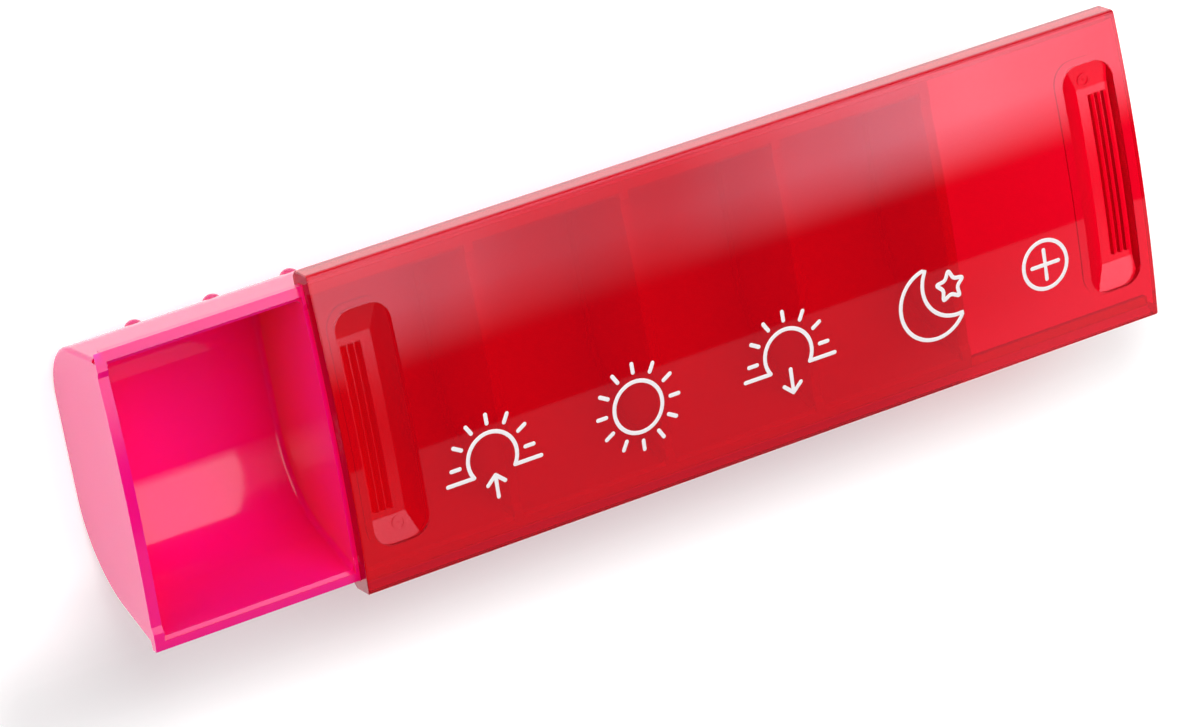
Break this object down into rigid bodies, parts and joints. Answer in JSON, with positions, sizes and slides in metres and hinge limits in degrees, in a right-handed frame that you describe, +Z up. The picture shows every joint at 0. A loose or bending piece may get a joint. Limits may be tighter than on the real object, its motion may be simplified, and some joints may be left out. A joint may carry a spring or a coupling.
{
  "type": "pill organizer",
  "caption": "Long pill box: an opaque tray divided into compartments, with a clear crowned lid that slides on the tray's rims.",
  "frame": {"origin": "on the flat bottom, half way along the tray and under the middle of the lid's width", "axes": "+X along the tray towards its end with the equal rooms, +Y towards the steep back wall, +Z up out of the rooms"},
  "size_m": [0.1549, 0.045, 0.0212],
  "materials": {
    "tray_plastic": "glossy opaque pink",
    "lid_plastic": "glossy clear red"
  },
  "bodies": {
    "tray": {"tray": "tray_plastic"},
    "lid": {"lid": "lid_plastic"}
  },
  "joints": [
    {"name": "lid_slide", "type": "slide", "parent": "tray", "child": "lid", "axis": [1, 0, 0], "range_m": [-0.1319, 0.0721]}
  ]
}
